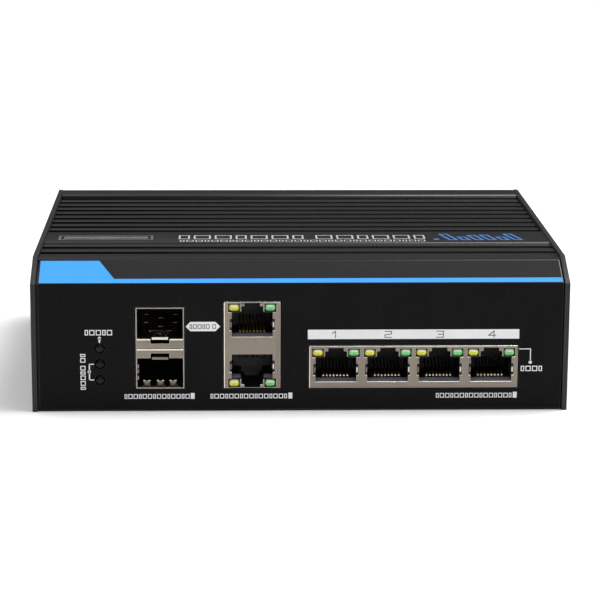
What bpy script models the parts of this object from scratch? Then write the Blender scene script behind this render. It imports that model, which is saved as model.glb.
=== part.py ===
"""Compact industrial network switch with a ribbed aluminium housing.

Modelled in metres, +Z up, front towards -Y, origin at the centre of the flat underside.
Every sub-part is one named object. Lengths below are in millimetres until they reach a mesh.
"""

import math

import bmesh
import bpy
from mathutils import Matrix, Vector

MM = 0.001
GAP = 0.3                     # clearance between neighbouring pieces

# Case, overall
CASE_DEPTH = 124.0
CASE_FRONT = -CASE_DEPTH / 2
CASE_BACK = CASE_DEPTH / 2
PLATE_HEIGHT = 44.2
PLATE_THICKNESS = 1.5
PLATE_INNER_X = 77.2
PLATE_OUTER_X = PLATE_INNER_X + PLATE_THICKNESS
FRONT_HEIGHT = 38.3           # the vertical front, up to the chamfer
CHAMFER_RUN = 12.3

# Ribbed housing extrusion
HOUSING_X = PLATE_INNER_X - 0.1
HOUSING_TOP = 43.1            # top of the ribs behind the raised band
FRONT_TOP = 43.4              # top of the ribs in front of it
HOUSING_BACK = CASE_BACK - 0.3
CEILING = 38.6
FRONT_WALL = 2.0
FILM_THICKNESS = 0.4
FILM_FACE = CASE_FRONT + 0.5
WALL_FACE = FILM_FACE + FILM_THICKNESS + GAP
WALL_INNER = WALL_FACE + FRONT_WALL
BACK_SLAB_BOTTOM = 36.4
BACK_SLAB_FRONT = 52.0
GROOVE_WIDTH = 3.4
GROOVE_DEPTH = 1.8
FRONT_GROOVES = (20.8, 28.5)  # distances behind the case front
FILM_LIP = 10.7               # where the film's recess ends on the chamfer, behind the case front
FILM_X = (-76.45, 76.75)
BAND = (33.4, 50.9)           # raised band for lettering, behind the case front
BAND_TOP = 43.9
REAR_GROOVE_FIRST = 55.65
REAR_GROOVE_PITCH = 7.055
REAR_GROOVE_COUNT = 9
BACK_LAND_START = 114.0       # raised land behind the ribs
BACK_LAND_TOP = 44.1

# Base pan
SHEET = 1.2
PAN_BACK = HOUSING_BACK
PAN_FRONT = WALL_INNER + GAP
TAB_HOLE_Z = 5.0
TAB_Y = (-52.0, 54.0)
PORT_FRONT = (-56.2, 36.6)    # y, z of the screw ports of the extrusion
PORT_BACK = (56.6, 39.9)
PORT_RADIUS = 1.5

# Board
BOARD_TOP = 6.55
BOARD_THICKNESS = 1.6
BOARD_X = 70.4
BOARD_FRONT = WALL_INNER + 0.5
BOARD_BACK = 53.0
BOARD_SCREWS = ((-66.5, -47.0), (67.2, -47.0), (-66.5, 44.0), (66.5, 44.0))
SEAT = BOARD_TOP + GAP        # underside of what stands on the board

# Connector fronts
SHIELD_FACE = CASE_FRONT + 0.3
SHIELD_SHEET = 0.45
SHIELD_BACK = -36.5
INSERT_FACE = SHIELD_FACE + SHIELD_SHEET + GAP
PLUG_HALF_WIDTH = 5.95
PLUG_HEIGHT = 7.05
LED_WINDOW = (3.65, 6.95, 7.5, 9.85)  # half-widths in and out, heights above the port floor
LED_SIZE = (3.8, 6.8, 7.65, 9.7)
PORT_DEPTH = 14.0

LAN_PITCH = 15.24
LAN_CENTRE_X = 33.17
LAN_WIDTH = 61.5
LAN_TOP = 19.6
LAN_FLOOR = 8.85
LAN_PORTS = 4

COMBO_CENTRE_X = -14.25
COMBO_WIDTH = 16.65
COMBO_TOP = 32.9
COMBO_UPPER_FLOOR = 22.5
COMBO_LOWER_ROOF = 17.1

WIRE_COUNT = 8
WIRE_PITCH = 1.016
WIRE_WIDTH = 0.45
WIRE_THICKNESS = 0.35
WIRE_BEND_Y = -58.2
WIRE_BEND_RISE = 0.95         # above the port floor
WIRE_RUN = 8.0
WIRE_CLIMB = 2.9

# Stacked SFP cage
SFP_CENTRE_X = -41.2
SFP_WIDTH = 14.2
SFP_TOP = 31.3
SFP_BACK = -12.0
SFP_SHEET = 0.4
SFP_LOWER = (SEAT + SFP_SHEET, 16.06)
SFP_UPPER = (21.95, SFP_TOP - SFP_SHEET)
SFP_SPLIT = 18.83
LATCH_NOTCH_HALF = 2.75
LATCH_NOTCH_DEPTH = 1.45
LATCH_HALF = 2.4
LATCH_HOLE_HALF = 1.45
LATCH_HOLE_FRONT = 3.0        # behind the tongue's tip
LATCH_HOLE_BACK = 6.0
LATCH_ROOT_Y = -51.4

# Indicator lamps
LAMP_X = -58.83
LAMP_Z = (19.0, 14.29, 9.44)
LAMP_HOLE = 1.65
LAMP_RADIUS = 1.45
LAMP_HOLDER_HALF = 2.7

# Rear power connector
POWER_X = 34.0
POWER_PITCH = 5.08
POWER_WAYS = 4
POWER_TOP = 15.6
HEADER_WIDTH = 23.0
HEADER_FRONT = 48.5
HEADER_FACE = HOUSING_BACK - 0.3
HEADER_WALL = 1.1
PLUG_END = 70.5
PLUG_BOTTOM = 5.2
PLUG_TOP = 17.2
PLUG_SCREW_Y = 66.4
PLUG_SCREW_SEAT = 11.0        # floor of the screw wells
WIRE_ENTRY = (7.0, 10.2)      # floor and roof of the wire entries

GROUND_POINT = (-56.0, 12.0)  # x, z


# ---------------------------------------------------------------- helpers

def clear_scene():
    for obj in list(bpy.data.objects):
        bpy.data.objects.remove(obj, do_unlink=True)


def material(name, color, roughness, metallic=0.0):
    made = bpy.data.materials.get(name)
    if made is None:
        made = bpy.data.materials.new(name)
        made.use_nodes = True
        shader = made.node_tree.nodes["Principled BSDF"]
        shader.inputs["Base Color"].default_value = (*color, 1.0)
        shader.inputs["Roughness"].default_value = roughness
        shader.inputs["Metallic"].default_value = metallic
        made.diffuse_color = (*color, 1.0)
    return made


def add_object(name, mesh):
    obj = bpy.data.objects.new(name, mesh)
    bpy.context.scene.collection.objects.link(obj)
    return obj


def mesh_from(name, points, faces):
    mesh = bpy.data.meshes.new(name)
    mesh.from_pydata([Vector(point) * MM for point in points], [], faces)
    shape = bmesh.new()
    shape.from_mesh(mesh)
    bmesh.ops.recalc_face_normals(shape, faces=shape.faces)
    shape.to_mesh(mesh)
    shape.free()
    return mesh


def prism(name, outline, axis, low, high):
    """Extrude a closed outline along an axis; the outline holds the other two axes in X, Y, Z order."""
    def place(pair, depth):
        values = list(pair)
        values.insert("XYZ".index(axis), depth)
        return values

    count = len(outline)
    points = [place(pair, low) for pair in outline] + [place(pair, high) for pair in outline]
    faces = [tuple(range(count)), tuple(range(2 * count - 1, count - 1, -1))]
    for index in range(count):
        following = (index + 1) % count
        faces.append((index, following, following + count, index + count))
    return add_object(name, mesh_from(name, points, faces))


def box(name, x, y, z):
    corners = ((y[0], z[0]), (y[1], z[0]), (y[1], z[1]), (y[0], z[1]))
    return prism(name, corners, "X", x[0], x[1])


def turned(name, profile, centre, direction, sides=20, smooth=35):
    """Turn (radius, height) points about an axis through centre that points in direction."""
    turn = Vector(direction).to_track_quat("Z", "Y").to_matrix()
    points = []
    for radius, height in profile:
        for side in range(sides):
            angle = math.tau * side / sides
            local = Vector((radius * math.cos(angle), radius * math.sin(angle), height))
            points.append(turn @ local + Vector(centre))
    faces = [tuple(range(sides)), tuple(range(len(points) - sides, len(points)))]
    for ring in range(len(profile) - 1):
        for side in range(sides):
            following = (side + 1) % sides
            low = ring * sides
            high = low + sides
            faces.append((low + side, low + following, high + following, high + side))
    obj = add_object(name, mesh_from(name, points, faces))
    smooth_shade(obj, smooth)
    return obj


def rod(name, centre, direction, radius, length, sides=20):
    return turned(name, ((radius, 0.0), (radius, length)), centre, direction, sides)


def smooth_shade(obj, degrees):
    obj.data.shade_smooth()
    obj.data.set_sharp_from_angle(angle=math.radians(degrees))


def boolean(body, tool, operation):
    """Apply an exact Boolean of tool to body and remove the tool."""
    modifier = body.modifiers.new(operation.title(), "BOOLEAN")
    modifier.object = tool
    modifier.operation = operation
    modifier.solver = "EXACT"
    graph = bpy.context.evaluated_depsgraph_get()
    result = bpy.data.meshes.new_from_object(body.evaluated_get(graph))
    body.modifiers.remove(modifier)
    body.data = result
    bpy.data.objects.remove(tool, do_unlink=True)


def cut(body, *tools):
    for tool in tools:
        boolean(body, tool, "DIFFERENCE")


def join(body, *tools):
    for tool in tools:
        boolean(body, tool, "UNION")


def set_origin(obj, point):
    """Move an object's origin to a point, leaving its shape where it is."""
    place = Vector(point) * MM
    obj.data.transform(Matrix.Translation(-place))
    obj.location = place


def finish(obj, made):
    obj.data.materials.clear()
    obj.data.materials.append(made)
    return obj


def arc(centre, radius, start, end, steps):
    """Points on an arc, angles in degrees."""
    points = []
    for step in range(steps + 1):
        angle = math.radians(start + (end - start) * step / steps)
        points.append((centre[0] + radius * math.cos(angle), centre[1] + radius * math.sin(angle)))
    return points


# ---------------------------------------------------------------- materials

def anodised():
    return material("anodised_black", (0.030, 0.030, 0.032), 0.45, 0.6)


def plate_paint():
    return material("plate_black", (0.022, 0.022, 0.022), 0.5, 0.2)


def nickel():
    return material("nickel", (0.55, 0.52, 0.48), 0.35, 1.0)


def black_plastic():
    return material("black_plastic", (0.015, 0.015, 0.016), 0.55)


def screw_steel():
    return material("black_screw", (0.04, 0.04, 0.04), 0.4, 0.9)


# ---------------------------------------------------------------- case

def chamfer_point(inset, y=None, z=None):
    """A point on the line that runs inset inside the end plates' chamfer, at a given y or z."""
    rise = PLATE_HEIGHT - FRONT_HEIGHT
    length = math.hypot(CHAMFER_RUN, rise)
    normal_y = -rise / length
    normal_z = CHAMFER_RUN / length
    if y is not None:
        return (y, FRONT_HEIGHT + (-inset - (y - CASE_FRONT) * normal_y) / normal_z)
    return (CASE_FRONT + (-inset - (z - FRONT_HEIGHT) * normal_z) / normal_y, z)


def groove(centre, top):
    """A groove across the top, entered at its front edge; centre is measured behind the case front."""
    middle = CASE_FRONT + centre
    half = GROOVE_WIDTH / 2
    floor_half = half - 0.35
    return [
        (middle - half, top), (middle - floor_half, top - GROOVE_DEPTH),
        (middle + floor_half, top - GROOVE_DEPTH), (middle + half, top),
    ]


def shoulder(start, low, high, side):
    """A round shoulder between two levels; side is 1 where it climbs towards the back, -1 where it falls."""
    height = high - low
    points = [(CASE_FRONT + start + side * px, low + pz) for px, pz in arc((height, 0.0), height, 180, 90, 5)]
    return points[::side]


def screw_port(centre, opening):
    """A round channel for a screw, open through a slot on one side (angle in degrees)."""
    slot = 20
    return arc(centre, PORT_RADIUS, opening + slot, opening + 360 - slot, 12)


def housing_profile():
    film_slot = 0.1 + FILM_THICKNESS + GAP
    profile = [(WALL_FACE, 0.0), chamfer_point(film_slot, y=WALL_FACE)]
    film_top = CASE_FRONT + FILM_LIP
    profile += [chamfer_point(film_slot, y=film_top), chamfer_point(0.1, y=film_top)]
    profile.append(chamfer_point(0.1, z=FRONT_TOP))
    for centre in FRONT_GROOVES:
        profile += groove(centre, FRONT_TOP)
    profile += shoulder(BAND[0], FRONT_TOP, BAND_TOP, 1)
    profile += shoulder(BAND[1], HOUSING_TOP, BAND_TOP, -1)
    for index in range(REAR_GROOVE_COUNT):
        profile += groove(REAR_GROOVE_FIRST + index * REAR_GROOVE_PITCH, HOUSING_TOP)
    profile += shoulder(BACK_LAND_START, HOUSING_TOP, BACK_LAND_TOP, 1)
    profile += [(HOUSING_BACK, BACK_LAND_TOP), (HOUSING_BACK, BACK_SLAB_BOTTOM)]
    y = PORT_BACK[0]
    slot_half = PORT_RADIUS * math.sin(math.radians(20))
    profile.append((y + slot_half, BACK_SLAB_BOTTOM))
    profile += screw_port(PORT_BACK, -90)
    profile.append((y - slot_half, BACK_SLAB_BOTTOM))
    profile += [(BACK_SLAB_FRONT, BACK_SLAB_BOTTOM), (BACK_SLAB_FRONT - 2.0, CEILING)]
    y, z = PORT_FRONT
    profile += [(y + 7.0, CEILING), (y + 3.0, CEILING - 1.2), (y + 3.0, z - 1.6)]
    profile.append((y + 2.0, z - 3.0))
    profile.append((y + slot_half, z - 3.0))
    profile += screw_port(PORT_FRONT, -90)
    profile.append((y - slot_half, z - 3.0))
    profile.append((WALL_INNER, z - 3.0))
    profile.append((WALL_INNER, 0.0))
    return profile


def window(name, x, z):
    """A cutter for a rectangular window through the front."""
    return box(name, x, (CASE_FRONT - 2.0, WALL_INNER + 1.0), z)


def front_windows(clearance):
    """Cutters for the openings in the front, larger than the connectors by the clearance."""
    half = LAN_WIDTH / 2 + clearance
    lan = window("cut", (LAN_CENTRE_X - half, LAN_CENTRE_X + half), (SEAT - clearance, LAN_TOP + clearance))
    half = COMBO_WIDTH / 2 + clearance
    combo = window("cut", (COMBO_CENTRE_X - half, COMBO_CENTRE_X + half),
                   (SEAT - clearance, COMBO_TOP + clearance))
    half = SFP_WIDTH / 2 + clearance
    sfp = window("cut", (SFP_CENTRE_X - half, SFP_CENTRE_X + half), (SEAT - clearance, SFP_TOP + clearance))
    lamps = [rod("cut", (LAMP_X, CASE_FRONT - 2.0, z), (0, 1, 0), LAMP_HOLE, 8.0) for z in LAMP_Z]
    return [lan, combo, sfp] + lamps


def make_housing():
    housing = prism("heatsink_housing", housing_profile(), "X", -HOUSING_X, HOUSING_X)
    cut(housing, *front_windows(GAP + 0.1))
    finish(housing, anodised())


def make_overlay():
    outer_low = (FILM_FACE, 0.6)
    outer_bend = chamfer_point(0.1, y=FILM_FACE)
    outer_top = chamfer_point(0.1, y=CASE_FRONT + FILM_LIP - GAP)
    inset = 0.1 + FILM_THICKNESS
    inner_top = chamfer_point(inset, y=outer_top[0])
    inner_bend = chamfer_point(inset, y=FILM_FACE + FILM_THICKNESS)
    inner_low = (FILM_FACE + FILM_THICKNESS, 0.6)
    outline = (outer_low, outer_bend, outer_top, inner_top, inner_bend, inner_low)
    film = prism("front_overlay", outline, "X", FILM_X[0], FILM_X[1])
    cut(film, *front_windows(GAP))
    finish(film, material("overlay_film", (0.012, 0.012, 0.013), 0.5))


def end_plate_points():
    """Screw places in y and z: two in the extrusion's ports and two in the pan's tabs."""
    return [PORT_FRONT, PORT_BACK, (TAB_Y[0], TAB_HOLE_Z), (TAB_Y[1], TAB_HOLE_Z)]


def make_end_plates():
    outline = (
        (CASE_FRONT, 0.0), (CASE_FRONT, FRONT_HEIGHT), (CASE_FRONT + CHAMFER_RUN, PLATE_HEIGHT),
        (CASE_BACK, PLATE_HEIGHT), (CASE_BACK, 0.0),
    )
    for side, name in ((-1, "left_end_plate"), (1, "right_end_plate")):
        faces = sorted((side * PLATE_INNER_X, side * PLATE_OUTER_X))
        plate = prism(name, outline, "X", faces[0], faces[1])
        for y, z in end_plate_points():
            sink = ((1.6, -0.5), (1.6, 0.2), (3.2, PLATE_THICKNESS - 0.25), (3.2, 3.0))
            cut(plate, turned("cut", sink, (side * PLATE_INNER_X, y, z), (side, 0, 0), 20))
        finish(plate, plate_paint())


def make_end_plate_screws():
    number = 1
    for side in (-1, 1):
        for y, z in end_plate_points():
            head = PLATE_THICKNESS - 0.1
            profile = ((0.9, -5.5), (1.25, -5.2), (1.25, 0.15), (2.8, head - 0.2), (2.8, head))
            name = "end_plate_screw_%d" % number
            screw = turned(name, profile, (side * PLATE_INNER_X, y, z), (side, 0, 0), 16)
            finish(screw, screw_steel())
            number += 1


def make_pan():
    outline = (
        (PAN_FRONT, 0.0), (PAN_BACK, 0.0), (PAN_BACK, BACK_SLAB_BOTTOM - GAP),
        (PAN_BACK - SHEET, BACK_SLAB_BOTTOM - GAP), (PAN_BACK - SHEET, SHEET), (PAN_FRONT, SHEET),
    )
    pan = prism("base_pan", outline, "X", -HOUSING_X, HOUSING_X)
    for x, y in BOARD_SCREWS:
        top = BOARD_TOP - BOARD_THICKNESS - GAP
        join(pan, turned("post", ((3.0, SHEET / 2), (3.0, top)), (x, y, 0), (0, 0, 1), 12))
        cut(pan, turned("cut", ((1.5, 1.6), (1.5, top + 1.0)), (x, y, 0), (0, 0, 1), 12))
    for side in (-1, 1):
        for y in TAB_Y:
            faces = sorted((side * HOUSING_X, side * (HOUSING_X - 1.6)))
            join(pan, box("tab", faces, (y - 4.5, y + 4.5), (SHEET / 2, TAB_HOLE_Z + 4.2)))
            start = (side * (HOUSING_X - 4.0), y, TAB_HOLE_Z)
            cut(pan, rod("cut", start, (side, 0, 0), PORT_RADIUS, 6.0, 12))
    half = HEADER_WIDTH / 2 + GAP
    cut(pan, box("cut", (POWER_X - half, POWER_X + half), (HOUSING_BACK - 3.0, HOUSING_BACK + 1.0),
                 (SEAT - GAP, POWER_TOP + GAP)))
    x, z = GROUND_POINT
    cut(pan, rod("cut", (x, HOUSING_BACK - 4.0, z), (0, 1, 0), 1.9, 6.0, 16))
    finish(pan, plate_paint())


# ---------------------------------------------------------------- board and what stands on it

def make_board():
    board = box("main_board", (-BOARD_X, BOARD_X), (BOARD_FRONT, BOARD_BACK),
                (BOARD_TOP - BOARD_THICKNESS, BOARD_TOP))
    for x, y in BOARD_SCREWS:
        cut(board, turned("cut", ((1.6, 0.0), (1.6, 9.0)), (x, y, 0), (0, 0, 1), 16))
    finish(board, material("board_green", (0.012, 0.09, 0.04), 0.45))
    for number, (x, y) in enumerate(BOARD_SCREWS, 1):
        profile = ((0.9, 2.2), (1.2, 2.5), (1.2, SEAT), (2.7, SEAT), (2.7, SEAT + 1.0), (1.9, SEAT + 1.8))
        screw = turned("board_screw_%d" % number, profile, (x, y, 0), (0, 0, 1), 16)
        finish(screw, material("zinc", (0.6, 0.6, 0.58), 0.35, 1.0))


def make_chips():
    chip = box("switch_chip", (6.0, 26.0), (-2.0, 18.0), (SEAT, SEAT + 1.4))
    finish(chip, black_plastic())
    base = SEAT + 1.4 + GAP
    sink = box("chip_heatsink", (4.0, 28.0), (-4.0, 20.0), (base, base + 9.0))
    for index in range(5):
        left = 4.0 + 1.8 + index * 4.4
        cut(sink, box("cut", (left, left + 2.8), (-6.0, 22.0), (base + 2.0, base + 12.0)))
    finish(sink, material("sink_anodised", (0.05, 0.05, 0.055), 0.4, 0.8))
    coil = box("power_inductor", (44.0, 57.0), (18.0, 31.0), (SEAT, SEAT + 6.5))
    bevel = coil.modifiers.new("Corners", "BEVEL")
    bevel.width = 1.5 * MM
    bevel.segments = 1
    finish(coil, material("ferrite", (0.06, 0.06, 0.065), 0.7))
    profile = ((6.0, SEAT), (6.25, SEAT + 0.4), (6.25, SEAT + 2.0), (5.7, SEAT + 2.5), (6.25, SEAT + 3.0),
               (6.25, SEAT + 19.4), (5.8, SEAT + 20.0))
    can = turned("bulk_capacitor", profile, (8.0, 38.0, 0.0), (0, 0, 1), 24)
    finish(can, material("capacitor_sleeve", (0.03, 0.03, 0.06), 0.4))


def make_lamps():
    x = (LAMP_X - LAMP_HOLDER_HALF, LAMP_X + LAMP_HOLDER_HALF)
    holder = box("indicator_holder", x, (WALL_INNER + GAP, -50.5), (SEAT, LAMP_Z[0] + 2.4))
    for z in LAMP_Z:
        cut(holder, rod("cut", (LAMP_X, CASE_FRONT, z), (0, 1, 0), LAMP_RADIUS + 0.35, 10.5, 20))
    finish(holder, black_plastic())
    for number, z in enumerate(LAMP_Z, 1):
        profile = [(LAMP_RADIUS, 0.0)] + arc((0.0, 7.2), LAMP_RADIUS, 0, 72, 3)
        lamp = turned("indicator_led_%d" % number, profile, (LAMP_X, -51.9, z), (0, -1, 0), 16, 50)
        finish(lamp, material("lamp_smoke", (0.05, 0.04, 0.04), 0.25))


# ---------------------------------------------------------------- RJ45 sockets

def port_outline(centre_x, floor, upright, grow=0.0, with_lamps=False):
    """Stepped opening of a modular socket in x and z; upright sockets take the plug's tab at the top."""
    half = PLUG_HALF_WIDTH + grow
    step_half = 3.15 + grow
    tab_half = 2.25 + grow
    shoulder = PLUG_HEIGHT + grow
    step_top = 9.05 + grow
    tab_top = 10.1 + grow
    side = [(half, -grow), (half, shoulder)]
    if with_lamps:
        inner, outer, low, high = LED_WINDOW
        side += [(half, low - 0.15), (outer, low - 0.15), (outer, high), (inner, high), (inner, low)]
    else:
        side.append((step_half + 0.5, shoulder))
    side += [(step_half, shoulder + 0.4), (step_half, step_top), (tab_half, step_top), (tab_half, tab_top)]
    outline = side + [(-x, z) for x, z in reversed(side)]
    sign = 1 if upright else -1
    return [(centre_x + x, floor + sign * z) for x, z in outline]


def lamp_box(name, centre_x, floor, upright, side, size, y):
    inner, outer, low, high = size
    x = sorted((centre_x + side * inner, centre_x + side * outer))
    sign = 1 if upright else -1
    z = sorted((floor + sign * low, floor + sign * high))
    return box(name, x, y, z)


def make_contacts(name, centre_x, floor, upright):
    """Eight spring wires that share a bar; they hinge at the bend near the mouth."""
    sign = 1 if upright else -1
    bend_z = floor + sign * WIRE_BEND_RISE
    direction = Vector((WIRE_RUN, sign * WIRE_CLIMB)).normalized()
    across = Vector((-direction.y, direction.x)) * WIRE_THICKNESS / 2
    start = Vector((WIRE_BEND_Y, bend_z))
    knee = start + Vector((WIRE_RUN, sign * WIRE_CLIMB))
    tail = knee + Vector((1.6, -sign * 0.25))
    outline = [start - across, knee - across, tail - across, tail + across, knee + across, start + across]
    outline = [tuple(point) for point in outline]
    bar = rod(name, (centre_x - 4.1, WIRE_BEND_Y, bend_z), (1, 0, 0), 0.55, 8.2, 10)
    for index in range(WIRE_COUNT):
        x = centre_x + (index - (WIRE_COUNT - 1) / 2) * WIRE_PITCH
        join(bar, prism("wire", outline, "X", x - WIRE_WIDTH / 2, x + WIRE_WIDTH / 2))
    set_origin(bar, (centre_x, WIRE_BEND_Y, bend_z))
    finish(bar, material("contact_gold", (0.75, 0.55, 0.2), 0.3, 1.0))


def make_socket_block(prefix, centre_x, width, top, ports):
    """Metal shield, plastic insert and lamps of a block of sockets; ports lists (x, floor, upright)."""
    left = centre_x - width / 2
    right = centre_x + width / 2
    shield = box(prefix + "_shield", (left, right), (SHIELD_FACE, SHIELD_BACK), (SEAT, top))
    inner = (left + SHIELD_SHEET, right - SHIELD_SHEET)
    cut(shield, box("cut", inner, (SHIELD_FACE + SHIELD_SHEET, SHIELD_BACK - SHIELD_SHEET),
                    (SEAT - 2.0, top - SHIELD_SHEET)))
    insert_back = SHIELD_BACK - SHIELD_SHEET - GAP
    insert = box(prefix + "_insert", (inner[0] + GAP, inner[1] - GAP), (INSERT_FACE, insert_back),
                 (SEAT, top - SHIELD_SHEET - GAP))
    for x, floor, upright in ports:
        outline = port_outline(x, floor, upright, 0.0, True)
        cut(shield, prism("cut", outline, "Y", SHIELD_FACE - 1.0, SHIELD_FACE + SHIELD_SHEET + 0.1))
        cavity = port_outline(x, floor, upright, 0.0)
        cut(insert, prism("cut", cavity, "Y", INSERT_FACE - 1.0, INSERT_FACE + PORT_DEPTH))
        for side in (-1, 1):
            cut(insert, lamp_box("cut", x, floor, upright, side, LED_WINDOW, (INSERT_FACE - 1.0, -43.7)))
    finish(shield, nickel())
    finish(insert, black_plastic())


def make_port_lamps(prefix, x, floor, upright):
    for side, color in ((-1, "yellow"), (1, "green")):
        name = "%s_led_%s" % (prefix, color)
        lamp = lamp_box(name, x, floor, upright, side, LED_SIZE, (CASE_FRONT + 0.15, -44.0))
        shade = {"yellow": (0.55, 0.55, 0.02), "green": (0.25, 0.6, 0.2)}[color]
        finish(lamp, material("led_" + color, shade, 0.25))


def make_lan_sockets():
    ports = []
    for index in range(LAN_PORTS):
        x = LAN_CENTRE_X + (index - (LAN_PORTS - 1) / 2) * LAN_PITCH
        ports.append((x, LAN_FLOOR, True))
    make_socket_block("lan", LAN_CENTRE_X, LAN_WIDTH, LAN_TOP, ports)
    for number, (x, floor, upright) in enumerate(ports, 1):
        make_port_lamps("lan_%d" % number, x, floor, upright)
        make_contacts("lan_contacts_%d" % number, x, floor, upright)


def make_combo_sockets():
    upper = (COMBO_CENTRE_X, COMBO_UPPER_FLOOR, True)
    lower = (COMBO_CENTRE_X, COMBO_LOWER_ROOF, False)
    make_socket_block("combo", COMBO_CENTRE_X, COMBO_WIDTH, COMBO_TOP, (upper, lower))
    for name, port in (("upper", upper), ("lower", lower)):
        make_port_lamps("combo_" + name, *port)
        make_contacts("combo_contacts_" + name, *port)


# ---------------------------------------------------------------- SFP cage

def make_sfp_cage():
    left = SFP_CENTRE_X - SFP_WIDTH / 2
    right = SFP_CENTRE_X + SFP_WIDTH / 2
    inner = (left + SFP_SHEET, right - SFP_SHEET)
    rear = SFP_BACK - SFP_SHEET
    cage = box("sfp_cage", (left, right), (SHIELD_FACE, SFP_BACK), (SEAT, SFP_TOP))
    middle = (SFP_LOWER[1] + SFP_SHEET, SFP_UPPER[0] - SFP_SHEET)
    cut(cage, box("cut", inner, (SHIELD_FACE - 1.0, rear), SFP_LOWER))
    cut(cage, box("cut", inner, (SHIELD_FACE - 1.0, rear), SFP_UPPER))
    cut(cage, box("cut", inner, (SHIELD_FACE + SFP_SHEET, rear), middle))
    slit = (inner[0] + 0.3, inner[1] - 0.3)
    cut(cage, box("cut", slit, (SHIELD_FACE - 1.0, SHIELD_FACE + 1.0), (SFP_SPLIT - 0.15, SFP_SPLIT + 0.15)))
    notch = (SFP_CENTRE_X - LATCH_NOTCH_HALF, SFP_CENTRE_X + LATCH_NOTCH_HALF)
    face = (SHIELD_FACE - 1.0, SHIELD_FACE + 1.0)
    tongue = (SHIELD_FACE - 1.0, LATCH_ROOT_Y + GAP)
    cut(cage, box("cut", notch, face, (SFP_UPPER[0] - LATCH_NOTCH_DEPTH, SFP_UPPER[0] + 0.2)))
    cut(cage, box("cut", notch, face, (SFP_LOWER[1] - 0.2, SFP_LOWER[1] + LATCH_NOTCH_DEPTH)))
    cut(cage, box("cut", notch, tongue, (SFP_UPPER[0] - 0.6, SFP_UPPER[0] + 0.2)))
    cut(cage, box("cut", notch, tongue, (SFP_LOWER[1] - 0.2, SFP_LOWER[1] + 0.6)))
    cut(cage, box("cut", (inner[0] + 1.0, inner[1] - 1.0), (-24.0, rear), (SEAT - 1.0, SFP_TOP - 4.0)))
    finish(cage, nickel())


def make_sfp_latch(name, plane, away):
    """Spring tongue in the plane of a port's inner wall; away points from that wall into the port."""
    x = (SFP_CENTRE_X - LATCH_HALF, SFP_CENTRE_X + LATCH_HALF)
    sheet = sorted((plane, plane - away * 0.35))
    front = SHIELD_FACE + 0.15
    tongue = box(name, x, (front, LATCH_ROOT_Y), sheet)
    lip = sorted((plane - away * 0.35, plane + away * 0.45))
    join(tongue, box("lip", x, (front, front + 0.5), lip))
    peak = (SFP_CENTRE_X, front + LATCH_HOLE_BACK)
    base = front + LATCH_HOLE_FRONT
    corners = ((SFP_CENTRE_X - LATCH_HOLE_HALF, base), (SFP_CENTRE_X + LATCH_HOLE_HALF, base), peak)
    cut(tongue, prism("cut", corners, "Z", plane - 2.0, plane + 2.0))
    set_origin(tongue, (SFP_CENTRE_X, LATCH_ROOT_Y, plane - away * 0.175))
    finish(tongue, nickel())


def make_sfp_connector():
    half = SFP_WIDTH / 2 - SFP_SHEET - 1.0 - GAP
    x = (SFP_CENTRE_X - half, SFP_CENTRE_X + half)
    block = box("sfp_connector", x, (-22.5, SFP_BACK - SFP_SHEET - GAP), (SEAT, SFP_TOP - 4.0 - GAP))
    slot_x = (x[0] + 0.8, x[1] - 0.8)
    for floor, roof in (SFP_LOWER, SFP_UPPER):
        level = (floor + roof) / 2 - 0.3
        cut(block, box("cut", slot_x, (-24.0, -15.5), (level - 0.6, level + 0.6)))
    finish(block, black_plastic())


# ---------------------------------------------------------------- rear connectors

def power_way_x(index):
    return POWER_X + (index - (POWER_WAYS - 1) / 2) * POWER_PITCH


def make_power_header():
    half = HEADER_WIDTH / 2
    x = (POWER_X - half, POWER_X + half)
    header = box("power_header", x, (HEADER_FRONT, HEADER_FACE), (SEAT, POWER_TOP))
    cut(header, box("cut", (x[0] + HEADER_WALL, x[1] - HEADER_WALL), (HEADER_FRONT + 2.0, HEADER_FACE + 1.0),
                    (SEAT + HEADER_WALL, POWER_TOP - HEADER_WALL)))
    middle = (SEAT + POWER_TOP) / 2
    for index in range(POWER_WAYS):
        x = power_way_x(index)
        join(header, box("pin", (x - 0.5, x + 0.5), (HEADER_FRONT + 1.0, HEADER_FACE - 3.0),
                         (middle - 0.5, middle + 0.5)))
    finish(header, material("terminal_green", (0.02, 0.28, 0.09), 0.45))


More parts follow.
